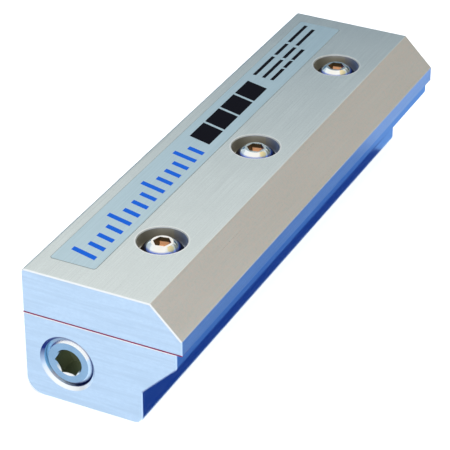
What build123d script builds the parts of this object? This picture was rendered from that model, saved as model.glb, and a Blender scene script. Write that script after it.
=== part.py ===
from build123d import *

import os

# A compressed air knife: a machined nozzle body and its bolted cap, with a thin plastic
# shim between them that sets the height of the air slot. Air enters at one end, fills the
# plenum bore, rises through the feed slots into the chamber under the cap and leaves as a
# flat sheet between the body's lip and the cap's tip.
# Millimetres. X runs along the knife, air leaves towards -Y, Z is up, and the origin is
# under the middle of the knife. Threads are smooth walls at the thread's outer diameter.

# Overall size
length = 152.4
depth = 42.0
body_height = 22.7
cap_height = 11.95

# Outline of the body, from the lip down to the foot and round to the back
lip_setback = 1.4
lip_height = 4.2
lip_round = 1.5
foot_setback = 9.2
foot_height = 9.3
waist_round = 0.8
foot_round = 2.2
heel_round = 4.5

# Outline of the cap, and the broken edges of both
tip_chamfer = 8.1
back_round = 1.0
seam_round = 0.5
edge_break = 0.3

# Shim: plastic stock of 0.002 inch
shim_thickness = 0.05

# Plenum bore and its 1/4 NPT port at each end
tap_drill_d = 11.1
pipe_thread_height = 1.1
pipe_thread_depth = 12.0
port_bevel = 0.75
plenum_from_back = 11.5
plenum_axis_height = 11.25

# Chamber under the cap, and the slots that feed it from the plenum bore
chamber_depth = 2.5
chamber_end_wall = 4.0
chamber_back_wall = 6.0
nozzle_land = 4.5
feed_slot_width = 6.35
feed_slot_end_gap = 2.0
cutter_radius = 1.5

# Button-head cap screws, 1/4-20, in counterbores
screw_pitch = 50.8
screw_setback = 18.3
screw_thread_d = 6.35
thread_gap = 0.05
cap_hole_gap = 0.35
thread_engagement = 7.5
tap_runout = 2.5
head_d = 11.1
head_height = 3.35
head_rim = 0.5
head_flat_d = 5.4
dome_rise = 0.3
screw_key = 3.97
screw_key_depth = 2.3
head_recess = 0.3
counterbore_gap = 0.6
counterbore_bevel = 0.2
land_margin = 3.0
key_turns = (-18, -16, -15)

# Pipe plug with a hex socket, in the port of the closed end
plug_recess = 0.5
plug_length = 10.5
plug_face_bevel = 1.2
plug_tip_bevel = 0.6
plug_key = 6.35
plug_key_depth = 5.5
plug_key_bevel = 0.45

# Mounting holes, 1/4-20, in the underside
mount_pitch = 50.8
mount_setback = 16.8
mount_thread_d = 6.35
mount_depth = 9.5
mount_bevel = 0.5

# Label on the cap
label_end_margin = 7.0
label_far_margin = 4.9
label_width = 12.3
label_from_back = 9.8
label_thickness = 0.1
label_round = 0.8

# Places worked out from the sizes above
tip_y = -depth / 2
back_y = depth / 2
lip_y = tip_y + lip_setback
foot_y = lip_y + foot_setback
cap_z = body_height + shim_thickness
top_z = cap_z + cap_height
port_r = tap_drill_d / 2 + pipe_thread_height
plenum_y = back_y - plenum_from_back
screw_y = tip_y + screw_setback
screw_seat_z = top_z - head_height - head_recess
screw_reach = screw_seat_z - body_height + thread_engagement
screw_hole_r = screw_thread_d / 2 + thread_gap
cap_hole_r = screw_thread_d / 2 + cap_hole_gap
land_width = 2 * (cap_hole_r + land_margin)
mount_y = tip_y + mount_setback
mount_hole_r = mount_thread_d / 2 + thread_gap
chamber_half = length / 2 - chamber_end_wall
feed_half = length / 2 - pipe_thread_depth - feed_slot_end_gap
screw_count = round(length / screw_pitch)
mount_count = round(length / mount_pitch)
screw_xs = [(i - (screw_count - 1) / 2) * screw_pitch for i in range(screw_count)]
mount_xs = [(i - (mount_count - 1) / 2) * mount_pitch for i in range(mount_count)]


def corner(sketch, y, z):
    """The corner of an outline that lies nearest to a place."""
    return sketch.vertices().sort_by_distance((y, z))[0]


def space_between_lands(front_y, rear_y, half_length):
    """Outline of a space that runs from front to rear and leaves a land round each screw."""
    with BuildSketch() as space:
        with Locations((0, (front_y + rear_y) / 2)):
            Rectangle(2 * half_length, rear_y - front_y)
        with Locations(*[(x, screw_y) for x in screw_xs]):
            Circle(land_width / 2, mode=Mode.SUBTRACT)
        with Locations(*[(x, (screw_y + rear_y) / 2) for x in screw_xs]):
            Rectangle(land_width, rear_y - screw_y, mode=Mode.SUBTRACT)
        rows = space.vertices().group_by(Axis.Y)
        fillet(rows[0] + rows[-1], cutter_radius)
    return space.sketch


chamber_back_y = back_y - chamber_back_wall
chamber = space_between_lands(lip_y + nozzle_land, chamber_back_y, chamber_half)
feed_slots = space_between_lands(
    plenum_y - feed_slot_width / 2, plenum_y + feed_slot_width / 2, feed_half
)
shim_window = space_between_lands(tip_y - lip_setback, chamber_back_y, chamber_half)

closed_port = Plane((-length / 2, plenum_y, plenum_axis_height), (0, 1, 0), (-1, 0, 0))
inlet_port = Plane((length / 2, plenum_y, plenum_axis_height), (0, 1, 0), (1, 0, 0))

# Nozzle body
with BuildPart() as body:
    with BuildSketch(Plane.YZ) as outline:
        with BuildLine():
            Polyline(
                (foot_y, 0),
                (foot_y, foot_height),
                (lip_y, body_height - lip_height),
                (lip_y, body_height),
                (back_y, body_height),
                (back_y, 0),
                close=True,
            )
        make_face()
        fillet(corner(outline, foot_y, 0), foot_round)
        fillet(corner(outline, foot_y, foot_height), waist_round)
        fillet(corner(outline, lip_y, body_height - lip_height), lip_round)
        fillet(corner(outline, back_y, body_height), seam_round)
        fillet(corner(outline, back_y, 0), heel_round)
    extrude(amount=length / 2, both=True)
    chamfer(body.faces().filter_by(Axis.X).edges(), edge_break)

    # Chamber and feed slots, milled from the seam face
    with BuildSketch(Plane.XY.offset(body_height)):
        add(chamber)
    extrude(amount=-chamber_depth, mode=Mode.SUBTRACT)
    with BuildSketch(Plane.XY.offset(body_height)):
        add(feed_slots)
    extrude(amount=plenum_axis_height - body_height, mode=Mode.SUBTRACT)

    # Plenum bore with a countersunk pipe port at each end
    with BuildSketch(Plane.YZ):
        with Locations((plenum_y, plenum_axis_height)):
            Circle(tap_drill_d / 2)
    extrude(amount=length / 2, both=True, mode=Mode.SUBTRACT)
    with Locations(closed_port, inlet_port):
        CounterSinkHole(port_r, port_r + port_bevel, pipe_thread_depth, 90)

    # Tapped holes: for the cap screws from above, for mounting from below
    with Locations(*[(x, screw_y, body_height) for x in screw_xs]):
        Hole(screw_hole_r, thread_engagement + tap_runout)
    with Locations(*[Plane((x, mount_y, 0), z_dir=(0, 0, -1)) for x in mount_xs]):
        CounterSinkHole(mount_hole_r, mount_hole_r + mount_bevel, mount_depth, 90)

# Cap
with BuildPart() as cap:
    with BuildSketch(Plane.YZ) as outline:
        with BuildLine():
            Polyline(
                (tip_y, cap_z),
                (tip_y, top_z - tip_chamfer),
                (tip_y + tip_chamfer, top_z),
                (back_y, top_z),
                (back_y, cap_z),
                close=True,
            )
        make_face()
        fillet(corner(outline, tip_y, top_z - tip_chamfer), edge_break)
        fillet(corner(outline, tip_y + tip_chamfer, top_z), edge_break)
        fillet(corner(outline, back_y, top_z), back_round)
        fillet(corner(outline, back_y, cap_z), seam_round)
    extrude(amount=length / 2, both=True)
    chamfer(cap.faces().filter_by(Axis.X).edges(), edge_break)
    with Locations(*[(x, screw_y, top_z) for x in screw_xs]):
        CounterBoreHole(cap_hole_r, head_d / 2 + counterbore_gap, top_z - screw_seat_z)
    rims = cap.edges().filter_by(GeomType.CIRCLE).group_by(Axis.Z)[-1]
    chamfer(rims, counterbore_bevel)

# Shim: a comb that seals the back, the ends and the screws, and leaves the lip open. Its
# two end fingers reach out under the cap's tip.
with BuildPart() as shim:
    with BuildSketch(Plane.XY.offset(body_height)):
        Rectangle(length, depth)
        add(shim_window, mode=Mode.SUBTRACT)
        with Locations(*[(x, screw_y) for x in screw_xs]):
            Circle(cap_hole_r, mode=Mode.SUBTRACT)
    extrude(amount=shim_thickness)

# Cap screw, standing with the underside of its head at Z = 0
with BuildPart() as cap_screw:
    with BuildSketch(Plane.XZ):
        with BuildLine():
            Polyline(
                (0, head_height),
                (0, -screw_reach),
                (screw_thread_d / 2, -screw_reach),
                (screw_thread_d / 2, 0),
                (head_d / 2, 0),
                (head_d / 2, head_rim),
            )
            SagittaArc((head_d / 2, head_rim), (head_flat_d / 2, head_height), -dome_rise)
            Line((head_flat_d / 2, head_height), (0, head_height))
        make_face()
    revolve(axis=Axis.Z)
    with BuildSketch(Plane.XY.offset(head_height)):
        RegularPolygon(screw_key / 2, 6, major_radius=False)
    extrude(amount=-screw_key_depth, mode=Mode.SUBTRACT)

# Pipe plug
with BuildPart() as end_plug:
    with BuildSketch(closed_port.offset(-plug_recess)):
        Circle(port_r - thread_gap)
    extrude(amount=-plug_length)
    plug_ends = end_plug.edges().group_by(Axis.X)
    chamfer(plug_ends[0], plug_face_bevel)
    chamfer(plug_ends[-1], plug_tip_bevel)
    with Locations(closed_port.offset(-plug_recess)):
        CounterSinkHole(plug_key / 2, plug_key / 2 + plug_key_bevel, plug_key_depth, 90)
    with BuildSketch(closed_port.offset(-plug_recess)):
        RegularPolygon(plug_key / 2, 6, major_radius=False)
    extrude(amount=-plug_key_depth, mode=Mode.SUBTRACT)

# Label
with BuildPart() as label:
    label_length = length - label_end_margin - label_far_margin
    with BuildSketch(Plane.XY.offset(top_z)):
        with Locations(((label_end_margin - label_far_margin) / 2, back_y - label_from_back)):
            RectangleRounded(label_length, label_width, label_round)
    extrude(amount=label_thickness)

pieces = {"body": body, "cap": cap, "shim": shim, "end_plug": end_plug, "label": label}
for number, x in enumerate(screw_xs, 1):
    turn = key_turns[(number - 1) % len(key_turns)]
    with BuildPart() as placed_screw:
        with Locations(Location((x, screw_y, screw_seat_z), (0, 0, turn))):
            add(cap_screw.part)
    pieces[f"cap_screw_{number}"] = placed_screw

os.makedirs("parts", exist_ok=True)
for name, piece in pieces.items():
    piece.part.label = name
    export_step(piece.part, f"parts/{name}.step")
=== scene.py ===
import math

import bmesh
import bpy
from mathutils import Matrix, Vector


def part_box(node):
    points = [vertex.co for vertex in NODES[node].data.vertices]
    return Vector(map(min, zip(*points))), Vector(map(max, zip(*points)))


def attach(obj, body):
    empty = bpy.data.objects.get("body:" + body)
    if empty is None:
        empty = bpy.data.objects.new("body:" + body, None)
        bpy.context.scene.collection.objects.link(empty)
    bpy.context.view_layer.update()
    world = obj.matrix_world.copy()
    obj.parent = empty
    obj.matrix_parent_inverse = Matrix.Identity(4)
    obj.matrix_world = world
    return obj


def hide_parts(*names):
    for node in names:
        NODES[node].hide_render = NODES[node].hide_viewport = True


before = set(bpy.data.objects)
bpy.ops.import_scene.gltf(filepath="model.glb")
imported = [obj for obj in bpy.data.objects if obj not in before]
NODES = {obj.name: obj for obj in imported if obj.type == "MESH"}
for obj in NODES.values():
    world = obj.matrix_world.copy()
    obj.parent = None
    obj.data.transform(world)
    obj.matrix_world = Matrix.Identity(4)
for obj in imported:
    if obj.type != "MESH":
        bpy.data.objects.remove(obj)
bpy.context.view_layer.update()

# Dresses the compressed air knife: brushed and milled metal, a label with plain shapes in
# place of print, and the ridges of its inner threads, on a pale stage with soft light.
# Metres. X runs along the knife, air leaves towards -Y, and Z is up.

MM = 0.001


def middle_of(node):
    """The middle of a node's box."""
    low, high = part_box(node)
    return (low + high) / 2


# Places that materials and threads share, from the frame
SCREW = middle_of("cap_screw_2")
SCREW_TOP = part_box("cap_screw_2")[1].z
SCREW_PITCH = middle_of("cap_screw_3").x - SCREW.x
SCREW_COUNT = sum(node.startswith("cap_screw_") for node in NODES)
CAP_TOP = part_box("cap")[1].z
PORT = middle_of("end_plug")
PLUG_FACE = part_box("end_plug")[0].x
KNIFE_LOW, KNIFE_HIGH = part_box("body")
LABEL_LOW, LABEL_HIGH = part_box("label")
STAGE_MIDDLE = (0, 0, 17 * MM)
FLOOR_DROP = 0.2 * MM
CARD_LIFT = 0.1 * MM

# Radii a little outside the edges that they mark off
COUNTERBORE = 6.5 * MM
HIGHLIGHT_RIM = 6.6 * MM
SCREW_SOCKET = 2.5 * MM
PORT_MOUTH = 7.45 * MM
PLUG_SOCKET = 3.9 * MM


# ---------------------------------------------------------------- placing things

def aim(obj, position, target):
    """Places obj and turns its -Z towards the target."""
    obj.location = position
    obj.rotation_euler = (Vector(target) - Vector(position)).to_track_quat("-Z", "Y").to_euler()


def from_angles(target, azimuth, elevation, distance):
    """A place seen from the target: azimuth 0 is -Y and turns towards -X, in degrees."""
    turn, rise = math.radians(azimuth), math.radians(elevation)
    level = math.cos(rise)
    step = Vector((-math.sin(turn) * level, -math.cos(turn) * level, math.sin(rise)))
    return Vector(target) + distance * step


def add_object(name, data):
    obj = bpy.data.objects.new(name, data)
    bpy.context.scene.collection.objects.link(obj)
    return obj


def plane(name, low, high, z):
    corners = [(low[0], low[1], z), (high[0], low[1], z), (high[0], high[1], z), (low[0], high[1], z)]
    mesh = bpy.data.meshes.new(name)
    mesh.from_pydata(corners, [], [(0, 1, 2, 3)])
    return add_object(name, mesh)


# ---------------------------------------------------------------- node trees

class Tree:
    """Short calls for building a node tree that ends in one shader."""

    def __init__(self, node_tree, end_kind):
        self.node_tree = node_tree
        node_tree.nodes.clear()
        self.end = self.node(end_kind).inputs["Surface"]

    def node(self, kind, **settings):
        """A new node with settings such as its operation."""
        made = self.node_tree.nodes.new(kind)
        for name, value in settings.items():
            setattr(made, name, value)
        return made

    def feed(self, socket, value):
        """Sets a socket to a number or a colour, or links another node's output to it."""
        if isinstance(value, (int, float)):
            socket.default_value = value
        elif isinstance(value, tuple):
            socket.default_value = (*value, 1)
        else:
            self.node_tree.links.new(value, socket)

    def math(self, kind, a, b=0.0):
        step = self.node("ShaderNodeMath", operation=kind)
        self.feed(step.inputs[0], a)
        self.feed(step.inputs[1], b)
        return step.outputs[0]

    def split(self, vector):
        """The X, Y and Z of a vector."""
        parts = self.node("ShaderNodeSeparateXYZ")
        self.feed(parts.inputs[0], vector)
        return parts.outputs

    def ramp(self, value, start, end, low=0.0, high=1.0):
        """Turns start to end into low to high, and holds both beyond."""
        step = self.node("ShaderNodeMapRange")
        for socket, number in zip(step.inputs[1:5], (start, end, low, high)):
            socket.default_value = number
        self.feed(step.inputs[0], value)
        return step.outputs[0]

    def blend_value(self, share, a, b):
        step = self.node("ShaderNodeMix")
        for socket, value in zip((step.inputs[0], step.inputs[2], step.inputs[3]), (share, a, b)):
            self.feed(socket, value)
        return step.outputs[0]

    def blend_color(self, share, a, b):
        step = self.node("ShaderNodeMix", data_type="RGBA")
        for socket, value in zip((step.inputs[0], step.inputs[6], step.inputs[7]), (share, a, b)):
            self.feed(socket, value)
        return step.outputs[2]

    def blend_shader(self, share, a, b):
        step = self.node("ShaderNodeMixShader")
        for socket, value in zip(step.inputs, (share, a, b)):
            self.feed(socket, value)
        return step.outputs[0]

    def glow(self, kind, color, strength=1.0):
        """An emission or background shader."""
        step = self.node(kind)
        self.feed(step.inputs["Color"], color)
        self.feed(step.inputs["Strength"], strength)
        return step.outputs[0]

    def seen_directly(self):
        """A value of 1 for rays from the camera, and for mirrored and refracted ones."""
        path = self.node("ShaderNodeLightPath").outputs
        first = self.math("MAXIMUM", path["Is Camera Ray"], path["Is Glossy Ray"])
        return self.math("MAXIMUM", first, path["Is Transmission Ray"])


class MaterialTree(Tree):
    """The node tree of a new material."""

    def __init__(self, name):
        self.material = bpy.data.materials.new(name)
        self.material.use_nodes = True
        super().__init__(self.material.node_tree, "ShaderNodeOutputMaterial")


# ---------------------------------------------------------------- camera, lamps and stage

def make_camera():
    target = Vector((-4.73, 3.63, 12.09)) * MM
    data = bpy.data.cameras.new("camera")
    data.sensor_width = 36.0
    data.lens = 167.24
    data.clip_start = 0.01
    camera = add_object("camera", data)
    aim(camera, from_angles(target, 63.571, 31.364, 0.543), target)
    bpy.context.scene.camera = camera


def area_lamp(name, azimuth, elevation, distance, size, watts, color, mirrored=True):
    data = bpy.data.lights.new(name, "AREA")
    data.shape = "RECTANGLE"
    data.size, data.size_y = size
    data.energy = watts
    data.color = color
    lamp = add_object(name, data)
    aim(lamp, from_angles(STAGE_MIDDLE, azimuth, elevation, distance), STAGE_MIDDLE)
    lamp.visible_camera = False
    lamp.visible_glossy = mirrored


def make_lamps():
    area_lamp("key", 40, 62, 0.9, (0.7, 0.7), 7, (1.0, 0.985, 0.95), mirrored=False)
    area_lamp("end_fill", 95, 12, 0.8, (0.6, 0.4), 1.5, (0.62, 0.80, 1.0))
    area_lamp("nose_fill", -5, 5, 0.8, (0.8, 0.3), 0.4, (0.2, 0.42, 1.0))


def make_world():
    """Soft bluish light all round, with white behind the knife."""
    world = bpy.data.worlds.new("world")
    bpy.context.scene.world = world
    world.use_nodes = True
    tree = Tree(world.node_tree, "ShaderNodeOutputWorld")
    soft = tree.glow("ShaderNodeBackground", (0.80, 0.88, 1.0), 0.45)
    white = tree.glow("ShaderNodeBackground", (1.0, 1.0, 1.0))
    tree.feed(tree.end, tree.blend_shader(tree.seen_directly(), soft, white))


def make_floor():
    """White paper that still shows the knife's shadow."""
    floor = plane("floor", (-3, -3), (3, 3), -FLOOR_DROP)
    tree = MaterialTree("floor_paper")
    paper = tree.node("ShaderNodeBsdfDiffuse")
    tree.feed(paper.inputs["Color"], (0.86, 0.88, 0.90))
    bright = tree.node("ShaderNodeAddShader")
    tree.feed(bright.inputs[0], paper.outputs[0])
    tree.feed(bright.inputs[1], tree.glow("ShaderNodeEmission", (1.0, 1.0, 1.0), 0.55))
    tree.feed(tree.end, tree.blend_shader(tree.seen_directly(), paper.outputs[0], bright.outputs[0]))
    floor.data.materials.append(tree.material)


def only_mirrored(card, color, top_color=None, fade_low=0.0, fade_high=0.0):
    """Gives a card a glow that shows in reflections and nowhere else. The glow may fade upwards."""
    tree = MaterialTree(card.name)
    if top_color:
        height = tree.split(tree.node("ShaderNodeTexCoord").outputs["Object"])["Y"]
        color = tree.blend_color(tree.ramp(height, fade_low, fade_high), color, top_color)
    tree.feed(tree.end, tree.glow("ShaderNodeEmission", color))
    card.data.materials.append(tree.material)
    card.visible_camera = False
    card.visible_diffuse = False
    card.visible_shadow = False
    card.visible_transmission = False


def floor_card(name, low, high, color):
    only_mirrored(plane(name, low, high, CARD_LIFT), color)


def standing_card(name, azimuth, elevation, size, color, distance=0.9, top_color=None, fade_start=0.0):
    """A card that faces the knife. It may fade to another colour towards its top."""
    half_wide, half_high = size[0] / 2, size[1] / 2
    card = plane(name, (-half_wide, -half_high), (half_wide, half_high), 0)
    aim(card, from_angles(STAGE_MIDDLE, azimuth, elevation, distance), STAGE_MIDDLE)
    only_mirrored(card, color, top_color, half_high * (2 * fade_start - 1), half_high)


def make_cards():
    """What the metal mirrors. The cards on the floor tint the nose, the foot and the plug end."""
    end_x = KNIFE_LOW.x
    far_x, front_y, outer_y = 0.07, -0.35, 0.30
    foot_y, under_y = -0.031, -0.0107
    gap = 0.1 * MM
    # A dark strip standing for the shade under the overhang, seen only in reflections
    floor_card("card_under_shade", (end_x, foot_y), (far_x, under_y), (0.0, 0.036, 0.275))
    floor_card("card_nose", (end_x, front_y), (far_x, foot_y - gap), (0.10, 0.24, 0.64))
    floor_card("card_nose_far", (far_x + gap, front_y), (0.6, under_y), (0.24, 0.41, 0.86))
    floor_card("card_end", (-0.45, front_y), (end_x - gap, outer_y), (0.64, 0.86, 1.16))

    standing_card(
        "card_far", 243.6, 17, (0.5, 0.25), (0.10, 0.17, 0.25),
        distance=0.42, top_color=(0.46, 0.56, 0.60), fade_start=0.7,
    )
    standing_card("card_front", -55, 22, (0.55, 0.55), (0.44, 0.42, 0.38))
    standing_card("card_warm", -35, 58, (0.5, 0.4), (1.0, 0.82, 0.48))
    standing_card("card_teal", 277, 12, (0.3, 0.4), (0.12, 0.14, 0.12))
    grey, pale = (0.46, 0.49, 0.52), (0.70, 0.72, 0.74)
    standing_card("card_nose_sky", 8, 28, (0.7, 0.5), grey, top_color=pale)
    standing_card("card_back_sky", 180, 24, (0.85, 0.5), grey, top_color=pale)


# ---------------------------------------------------------------- what the materials are built from

def shade(tone, share):
    """A tone made darker or lighter."""
    return tuple(part * share for part in tone)


class Surface(MaterialTree):
    """One material of the knife, with patterns and masks that are fixed to the part."""

    def __init__(self, name, **sockets):
        super().__init__(name)
        self.shader = self.node("ShaderNodeBsdfPrincipled")
        self.feed(self.end, self.shader.outputs[0])
        self.place = self.node("ShaderNodeTexCoord").outputs["Object"]
        self.x, self.y, self.z = self.split(self.place)
        facing = self.node("ShaderNodeNewGeometry").outputs["Normal"]
        self.facing_x, self.facing_y, self.facing_z = self.split(facing)
        for socket, value in sockets.items():
            self.set(socket, value)

    def set(self, socket, value):
        """Sets one input of the shader, with _ for the spaces in its name."""
        self.feed(self.shader.inputs[socket.replace("_", " ")], value)

    def noise(self, scale, stretch=(1, 1, 1), detail=4.0, rough=0.55):
        """Noise with so many cells to the metre along each axis."""
        mapping = self.node("ShaderNodeMapping")
        mapping.inputs["Scale"].default_value = stretch
        self.feed(mapping.inputs["Vector"], self.place)
        noise = self.node("ShaderNodeTexNoise")
        noise.inputs["Scale"].default_value = scale
        noise.inputs["Detail"].default_value = detail
        noise.inputs["Roughness"].default_value = rough
        self.feed(noise.inputs["Vector"], mapping.outputs[0])
        return noise.outputs["Fac"]

    def both(self, a, b):
        """Where two masks meet."""
        return self.math("MULTIPLY", a, b)

    def either(self, a, b):
        return self.math("MAXIMUM", a, b)

    def length(self, a, b):
        """The length of the step that two offsets make together."""
        total = self.math("ADD", self.math("MULTIPLY", a, a), self.math("MULTIPLY", b, b))
        return self.math("SQRT", total)

    def screw_distance(self):
        """How far a point lies from the axis of the nearest cap screw."""
        number = self.math("ROUND", self.math("DIVIDE", self.x, SCREW_PITCH))
        dx = self.math("SUBTRACT", self.x, self.math("MULTIPLY", number, SCREW_PITCH))
        return self.length(dx, self.math("SUBTRACT", self.y, SCREW.y))

    def port_distance(self):
        """How far a point lies from the axis that the ports, the plenum and the plug share."""
        dy = self.math("SUBTRACT", self.y, PORT.y)
        return self.length(dy, self.math("SUBTRACT", self.z, PORT.z))

    def within(self, distance, radius, soft=0.05 * MM):
        """A value of 1 inside a radius, 0 outside it."""
        return self.ramp(distance, radius + soft, radius)

    def below(self, z, soft=0.04 * MM):
        """A value of 1 below a height, 0 above it."""
        return self.ramp(self.z, z + soft, z - soft)

    def bump(self, height, strength, distance):
        step = self.node("ShaderNodeBump")
        step.inputs["Strength"].default_value = strength
        step.inputs["Distance"].default_value = distance
        self.feed(step.inputs["Height"], height)
        self.set("Normal", step.outputs[0])


# ---------------------------------------------------------------- aluminium

class Aluminium(Surface):
    """Bar stock brushed along X and milled at its ends, with masks for its faces and holes."""

    def __init__(self, name):
        super().__init__(name)
        self.streaks = self.noise(1, (30, 3400, 3400), detail=6, rough=0.75)
        self.mottle = self.noise(1, (1500, 1100, 1900), detail=4, rough=0.65)

        across = self.math("ABSOLUTE", self.facing_x)
        self.is_end = self.ramp(across, 0.9, 0.98)
        self.is_edge = self.both(self.ramp(across, 0.2, 0.5), self.math("SUBTRACT", 1.0, self.is_end))
        self.is_front = self.ramp(self.facing_y, -0.7, -0.9)
        nose_slope = self.ramp(self.facing_y, -0.4, -0.6)
        self.is_slope = self.both(nose_slope, self.ramp(self.facing_z, 0.4, 0.6))

        near_screw = self.within(self.screw_distance(), COUNTERBORE)
        self.in_hole = self.both(near_screw, self.below(CAP_TOP - 0.28 * MM))
        bevel = self.both(self.ramp(self.facing_z, 0.3, 0.5), self.ramp(self.facing_z, 0.95, 0.85))
        self.is_bevel = self.both(near_screw, bevel)
        level = self.ramp(self.facing_z, 0.95, 0.98)
        # Where the painted highlight on each counterbore's rim goes
        self.rim_highlight = self.both(self.within(self.screw_distance(), HIGHLIGHT_RIM, soft=0.15 * MM), level)

        near_port = self.both(self.is_edge, self.within(self.port_distance(), PORT_MOUTH))
        self.port_shade = self.both(near_port, self.ramp(self.facing_z, 0.25, -0.25))

    def brushed(self, tone):
        """Streaks, scratches and clouds along the length, and painted warm light in a speckle on the slope.
        """
        scratches = self.noise(1, (90, 9000, 9000), detail=2)
        clouds = self.noise(60, detail=6, rough=0.7)
        specks = self.noise(2300, detail=2)
        warm_light_spots = self.noise(1300, detail=3, rough=0.6)
        glint = tuple(min(part, 0.95) for part in shade(tone, 1.25))
        color = self.blend_color(self.ramp(self.streaks, 0.34, 0.66), shade(tone, 0.80), tone)
        color = self.blend_color(self.ramp(scratches, 0.6, 0.72, 0, 0.35), color, glint)
        color = self.blend_color(self.ramp(clouds, 0.35, 0.65, 0, 0.5), color, shade(tone, 0.84))
        color = self.blend_color(self.ramp(specks, 0.48, 0.68, 0, 0.45), color, shade(tone, 0.78))
        # Painted warm light, speckled, on the slope
        warm = self.both(self.is_slope, self.ramp(warm_light_spots, 0.35, 0.65, 0.35, 1.0))
        return self.blend_color(warm, color, (tone[0], tone[1] * 0.89, tone[2] * 0.87))

    def milled(self, tone):
        """The mottle and faint sweeps of a milled end."""
        sweep = self.noise(1, (300, 60, 900), detail=2)
        color = self.blend_color(self.ramp(self.mottle, 0.35, 0.7), shade(tone, 0.93), tone)
        return self.blend_color(self.ramp(sweep, 0.4, 0.65, 0, 0.7), color, shade(tone, 0.87))

    def shaded_bore(self, tone):
        """A counterbore's wall in painted light: a painted blue reflection on the nose side, painted shade at
        the back and darker painted shade on its floor.
        """
        nose_wall_reflection = self.ramp(self.facing_y, -0.1, 0.8)
        back_wall_shade = self.ramp(self.facing_y, -0.5, -0.95)
        floor_shade = self.ramp(self.facing_z, 0.8, 0.95)
        color = self.blend_color(nose_wall_reflection, tone, (0.16, 0.27, 0.55))
        color = self.blend_color(back_wall_shade, color, shade(tone, 0.55))
        return self.blend_color(floor_shade, color, shade(tone, 0.25))


def milled_aluminium(name, tone, end_tone, hole_shade_tone, front_blue_shade=None):
    """Brushed sides, milled ends, broken edges with a painted highlight, and counterbores in painted shade
    with a painted highlight on their rim.
    """
    metal = Aluminium(name)
    color = metal.blend_color(metal.is_end, metal.brushed(tone), metal.milled(end_tone))
    # Painted highlight on the broken edges
    color = metal.blend_color(metal.is_edge, color, (0.90, 0.93, 0.94))
    if front_blue_shade:
        # Painted blue shade on the faces towards the nose
        color = metal.blend_color(metal.is_front, color, front_blue_shade)
    # Painted shade and a painted blue reflection inside the counterbores
    color = metal.blend_color(metal.in_hole, color, metal.shaded_bore(hole_shade_tone))
    color = metal.blend_color(metal.port_shade, color, (0.02, 0.035, 0.18))
    color = metal.blend_color(metal.is_bevel, color, (0.55, 0.58, 0.56))
    # Painted highlight on the rim round each counterbore
    color = metal.blend_color(metal.math("MULTIPLY", metal.rim_highlight, 0.8), color, (1.0, 1.0, 0.97))
    metal.set("Base_Color", color)
    metal.set("Metallic", metal.blend_value(metal.in_hole, 1.0, 0.45))

    brushed_rough = metal.ramp(metal.streaks, 0.3, 0.75, 0.27, 0.42)
    milled_rough = metal.ramp(metal.mottle, 0.3, 0.7, 0.40, 0.52)
    rough = metal.blend_value(metal.is_end, brushed_rough, milled_rough)
    rough = metal.blend_value(metal.in_hole, rough, 0.3)
    metal.set("Roughness", metal.blend_value(metal.is_bevel, rough, 0.5))
    metal.bump(metal.blend_value(metal.is_end, metal.streaks, metal.mottle), 0.4, 0.04 * MM)
    return metal.material


# ---------------------------------------------------------------- steel, plastic, film and ink

def screw_steel(name):
    """Bright button heads in painted light: a painted pale-blue reflection on the back of the dome and a
    painted dark teal reflection on its nose side, painted blue then dark reflections towards its edge, and
    painted shade in the socket above a painted warm highlight on its bottom."""
    steel = Surface(name)
    grain = steel.noise(2200, detail=2)
    stain = steel.noise(260, detail=3)
    radius = steel.screw_distance()
    color = steel.blend_color(steel.ramp(stain, 0.4, 0.7, 0, 0.4), (0.93, 0.93, 0.90), (0.86, 0.80, 0.66))
    # Painted reflections: pale blue towards the back, dark teal towards the nose
    color = steel.blend_color(steel.ramp(steel.facing_y, 0.0, 0.4, 0, 0.8), color, (0.74, 0.90, 1.0))
    color = steel.blend_color(steel.ramp(steel.facing_y, -0.35, -0.6, 0, 0.75), color, (0.30, 0.42, 0.46))
    blue_start, dark_start, dark_full = 3.7 * MM, 4.1 * MM, 4.5 * MM
    # Painted reflections towards the dome's edge: blue, then dark
    color = steel.blend_color(steel.ramp(radius, blue_start, dark_start), color, (0.12, 0.20, 0.60))
    color = steel.blend_color(steel.ramp(radius, dark_start, dark_full), color, (0.07, 0.05, 0.07))

    inside = steel.both(steel.within(radius, SCREW_SOCKET, soft=0.1 * MM), steel.below(SCREW_TOP - 0.12 * MM))
    deep = steel.ramp(steel.z, SCREW_TOP - 1.1 * MM, SCREW_TOP - 1.35 * MM)
    lit = steel.either(steel.ramp(steel.facing_x, -0.6, -0.75), steel.ramp(steel.facing_z, 0.5, 0.8))
    # Painted shade on the socket walls and a painted warm highlight on its lit bottom
    socket = steel.blend_color(steel.ramp(steel.facing_y, 0.2, 0.5), (0.05, 0.035, 0.015), (0.02, 0.02, 0.12))
    socket = steel.blend_color(steel.both(deep, lit), socket, (0.90, 0.55, 0.32))

    steel.set("Base_Color", steel.blend_color(inside, color, socket))
    steel.set("Metallic", steel.blend_value(inside, 1.0, 0.2))
    steel.set("Roughness", steel.ramp(grain, 0.3, 0.7, 0.08, 0.13))
    steel.bump(grain, 0.15, 0.02 * MM)
    return steel.material


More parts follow.
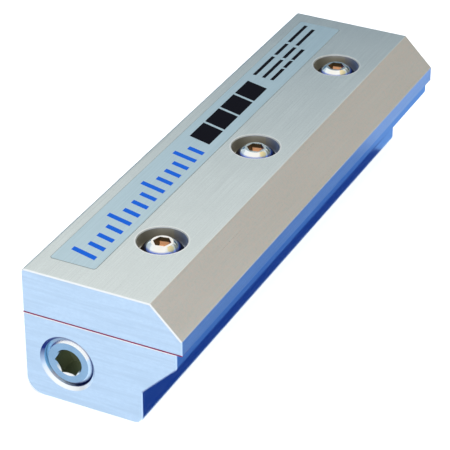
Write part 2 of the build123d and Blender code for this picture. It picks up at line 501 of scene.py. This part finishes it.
def plug_steel(name, tone):
    """Turned stainless with painted highlights on its bevels, painted shade along its edge towards the nose
    and painted shade in its socket.
    """
    steel = Surface(name, Metallic=1.0)
    radius = steel.port_distance()
    rings = steel.math("SINE", steel.math("MULTIPLY", radius, 9000.0))
    stain = steel.noise(300, detail=3)
    is_bevel = steel.ramp(steel.math("ABSOLUTE", steel.facing_x), 0.9, 0.85)
    bright = steel.either(steel.ramp(radius, 4.0 * MM, 4.2 * MM), steel.ramp(steel.facing_z, 0.3, 0.6))
    nose_side = steel.ramp(steel.facing_y, 0.25, -0.2)
    deep = steel.ramp(steel.x, PLUG_FACE + 0.30 * MM, PLUG_FACE + 0.55 * MM)
    in_socket = steel.both(deep, steel.within(radius, PLUG_SOCKET, soft=0.1 * MM))

    color = steel.blend_color(steel.ramp(stain, 0.4, 0.7, 0, 0.5), tone, shade(tone, 0.82))
    # Painted highlights on the outer bevel and on the upward faces of the socket's bevel
    color = steel.blend_color(steel.both(is_bevel, bright), color, (0.90, 0.93, 0.95))
    # Painted shade along the edge towards the nose
    nose_edge_shade = steel.both(nose_side, steel.ramp(radius, 5.9 * MM, 6.2 * MM))
    color = steel.blend_color(nose_edge_shade, color, (0.03, 0.05, 0.22))
    # Painted shade in the socket
    steel.set("Base_Color", steel.blend_color(in_socket, color, (0.30, 0.32, 0.22)))
    steel.set("Roughness", steel.blend_value(in_socket, steel.ramp(rings, -1, 1, 0.18, 0.24), 0.4))
    steel.bump(rings, 0.1, 0.01 * MM)
    return steel.material


def shim_plastic(name):
    """Clouded red plastic."""
    plastic = Surface(name, Roughness=0.35)
    cloud = plastic.noise(120, detail=2)
    plastic.set("Base_Color", plastic.blend_color(cloud, (0.46, 0.01, 0.12), (0.30, 0.01, 0.09)))
    return plastic.material


def label_film(name):
    """Satin silver film with faint streaks along the label."""
    film = Surface(name, Metallic=0.75, Coat_Weight=0.4, Coat_Roughness=0.2)
    streaks = film.noise(1, (45, 2600, 2600), detail=5, rough=0.7)
    speck = film.noise(700, detail=2)
    color = film.blend_color(film.ramp(streaks, 0.35, 0.7), (0.50, 0.65, 0.70), (0.57, 0.72, 0.78))
    film.set("Base_Color", color)
    film.set("Roughness", film.ramp(speck, 0.3, 0.7, 0.34, 0.42))
    film.bump(speck, 0.08, 0.02 * MM)
    return film.material


def printed_ink(name, tone):
    """Matt ink with a faint speckle."""
    ink = Surface(name, Roughness=0.6, Specular_IOR_Level=0.05)
    speck = ink.noise(1500, detail=2)
    ink.set("Base_Color", ink.blend_color(ink.ramp(speck, 0.3, 0.8, 0, 0.3), tone, shade(tone, 0.7)))
    return ink.material


# ---------------------------------------------------------------- new pieces

def finish_piece(name, shape, material):
    """Turns a finished bmesh into a piece that rides with the knife."""
    bmesh.ops.recalc_face_normals(shape, faces=shape.faces)
    mesh = bpy.data.meshes.new(name)
    shape.to_mesh(mesh)
    shape.free()
    piece = add_object(name, mesh)
    piece.data.materials.append(material)
    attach(piece, "root")
    return piece


def slab(name, outline, low_z, high_z, material):
    """A flat piece of the label with the given outline, in order, between two heights."""
    shape = bmesh.new()
    base = shape.faces.new([shape.verts.new((x, y, low_z)) for x, y in outline])
    lifted = bmesh.ops.extrude_face_region(shape, geom=[base])["geom"]
    raised = [v for v in lifted if isinstance(v, bmesh.types.BMVert)]
    bmesh.ops.translate(shape, verts=raised, vec=(0, 0, high_z - low_z))
    return finish_piece(name, shape, material)


# ---------------------------------------------------------------- label and print

EDGE_HIGH = 0.03 * MM
INK_HIGH = 0.02 * MM
EDGE_WIDE = 0.14 * MM
LABEL_ROUND = 0.8 * MM
SHEET_ROUND = 0.7 * MM
LABEL_MIDDLE = (LABEL_LOW.y + LABEL_HIGH.y) / 2


def rounded_box(low, high, radius, steps=6):
    """The outline of a box with rounded corners."""
    points = []
    for side_x, side_y, start in ((1, 1, 0), (-1, 1, 90), (-1, -1, 180), (1, -1, 270)):
        x = high.x - radius if side_x > 0 else low.x + radius
        y = high.y - radius if side_y > 0 else low.y + radius
        for i in range(steps + 1):
            angle = math.radians(start + 90 * i / steps)
            points.append((x + radius * math.cos(angle), y + radius * math.sin(angle)))
    return points


def make_label():
    """The film, with a dark rim round it as painted shade along its edge."""
    # A dark rim stands in for the shade along the label's edge
    edge = printed_ink("label_edge_shade", (0.26, 0.29, 0.28))
    film = label_film("label_film")
    base = rounded_box(LABEL_LOW, LABEL_HIGH, LABEL_ROUND)
    edge_top = LABEL_LOW.z + EDGE_HIGH
    edge_shade_piece = slab("label_edge_shade", base, LABEL_LOW.z, edge_top, edge)
    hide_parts("label")
    inset = Vector((EDGE_WIDE, EDGE_WIDE, 0))
    sheet = rounded_box(LABEL_LOW + inset, LABEL_HIGH - inset, SHEET_ROUND)
    slab("label_sheet", sheet, edge_top, LABEL_HIGH.z - INK_HIGH, film)


def slanted(x, y, wide, tall, lean):
    """The outline of an upright mark that leans along the label."""
    return [(x, y), (x + wide, y), (x + wide + lean, y + tall), (x + lean, y + tall)]


def along_label(share):
    """The x of a place on the label, from a share of its length."""
    return LABEL_LOW.x + share * (LABEL_HIGH.x - LABEL_LOW.x)


def print_mark(name, outline, ink):
    """A printed shape, level with the top of the label."""
    slab(name, outline, LABEL_HIGH.z - INK_HIGH, LABEL_HIGH.z, ink)


def print_bars(ink):
    """A row of slanted bars, every fourth one taller."""
    count, start, pitch = 14, 0.025, 0.0303
    wide, low_bar, high_bar, lean = 1.55 * MM, 4.9 * MM, 7.2 * MM, 0.25
    foot = LABEL_MIDDLE - 3.9 * MM
    for number in range(count):
        tall = high_bar if number % 4 == 0 else low_bar
        outline = slanted(along_label(start + pitch * number), foot, wide, tall, lean * tall)
        print_mark(f"print_bar_{number + 1}", outline, ink)


def print_blocks(ink):
    """A heavy band in slanted blocks."""
    count, start, pitch = 4, 0.46, 0.0625
    wide, tall, lean = 7.9 * MM, 6.6 * MM, 1.9 * MM
    foot = LABEL_MIDDLE - 3.0 * MM
    for number in range(count):
        outline = slanted(along_label(start + pitch * number), foot, wide, tall, lean)
        print_mark(f"print_block_{number + 1}", outline, ink)


def print_rules(ink):
    """Three thin rules, each broken into three dashes."""
    tall = 1.0 * MM
    dashes = ((0, 0.36), (0.40, 0.62), (0.66, 1.0))
    rules = ((3.5 * MM, 0.745, 0.985), (0.6 * MM, 0.742, 0.975), (-2.0 * MM, 0.74, 0.885))
    for row, (offset, start, end) in enumerate(rules, 1):
        foot = LABEL_MIDDLE + offset - tall / 2
        for number, (first, last) in enumerate(dashes, 1):
            x = along_label(start + first * (end - start))
            wide = along_label(start + last * (end - start)) - x
            print_mark(f"print_rule_{row}_{number}", slanted(x, foot, wide, tall, 0), ink)


def make_print():
    """Simple shapes where such a label carries its print."""
    blue = printed_ink("ink_blue", (0.01, 0.12, 0.62))
    black = printed_ink("ink_black", (0.003, 0.003, 0.006))
    print_bars(blue)
    print_blocks(black)
    print_rules(black)


# ---------------------------------------------------------------- threads

PORT_THREAD = {"radius": 6.65 * MM, "height": 0.85 * MM, "pitch": 1.411 * MM, "length": 9.6 * MM}
MOUNT_THREAD = {"radius": 3.225 * MM, "height": 0.6 * MM, "pitch": 1.27 * MM, "length": 7.6 * MM}
THREAD_ROOT = 0.03 * MM
PORT_DEPTH = 1.4 * MM
MOUNT_DEPTH = 1.1 * MM
MOUNT_OFFSET = 1.5 * MM


def helix(name, mouth, along, material, radius, height, pitch, length, steps=32):
    """The crest of an inner thread: a triangular ridge wound along a hole from its mouth."""
    side = Vector((0, 1, 0))
    up = along.cross(side)
    half_base = 0.47 * pitch
    count = int(steps * length / pitch)
    shape = bmesh.new()
    rings = []
    for i in range(count + 1):
        angle = 2 * math.pi * i / steps
        out = side * math.cos(angle) + up * math.sin(angle)
        centre = mouth + along * (pitch * i / steps)
        fade = min(1.0, i / steps, (count - i) / steps)
        root = radius + THREAD_ROOT
        crest = radius - height * fade
        profile = ((root, -half_base), (crest, 0.0), (root, half_base))
        rings.append([shape.verts.new(centre + out * reach + along * shift) for reach, shift in profile])
    for one, two in zip(rings, rings[1:]):
        for a, b in ((0, 1), (1, 2), (2, 0)):
            shape.faces.new((one[a], one[b], two[b], two[a]))
    shape.faces.new(rings[0])
    shape.faces.new(rings[-1])
    finish_piece(name, shape, material)


def make_threads(material):
    """Ridges in the inlet port and in the mounting holes, just inside their bevels."""
    inlet = Vector((KNIFE_HIGH.x - PORT_DEPTH, PORT.y, PORT.z))
    helix("thread_inlet", inlet, Vector((-1, 0, 0)), material, **PORT_THREAD, steps=48)
    for number in range(SCREW_COUNT):
        x = (number - (SCREW_COUNT - 1) / 2) * SCREW_PITCH
        mouth = Vector((x, SCREW.y - MOUNT_OFFSET, MOUNT_DEPTH))
        helix(f"thread_mount_{number + 1}", mouth, Vector((0, 0, 1)), material, **MOUNT_THREAD)


# ---------------------------------------------------------------- dress the frame

def assign(node, material):
    NODES[node].data.materials.clear()
    NODES[node].data.materials.append(material)


def dress_nodes():
    """Gives each solid but the label its material, and the body its threads."""
    milled_tone = (0.79, 0.83, 0.85)
    # The cap's brushed tone and the body's darker one are lit and painted-shade copies of one aluminium; both
    # hole tones are painted shade
    body_metal = milled_aluminium(
        "body_metal", (0.62, 0.66, 0.70), milled_tone, (0.30, 0.27, 0.20), front_blue_shade=(0.44, 0.66, 0.80)
    )
    cap_metal = milled_aluminium("cap_metal", (0.89, 0.95, 0.92), milled_tone, (0.46, 0.42, 0.31))
    screw_metal = screw_steel("screw_steel")
    assign("body", body_metal)
    assign("cap", cap_metal)
    assign("shim", shim_plastic("shim_plastic"))
    # The plug's blue-grey tone is partly its steel and partly painted shade and blue reflection
    assign("end_plug", plug_steel("plug_steel", (0.44, 0.55, 0.62)))
    for number in range(SCREW_COUNT):
        assign(f"cap_screw_{number + 1}", screw_metal)
    make_threads(body_metal)


make_camera()
make_world()
make_lamps()
make_floor()
make_cards()
bpy.context.scene.view_settings.view_transform = "Standard"
dress_nodes()
make_label()
make_print()
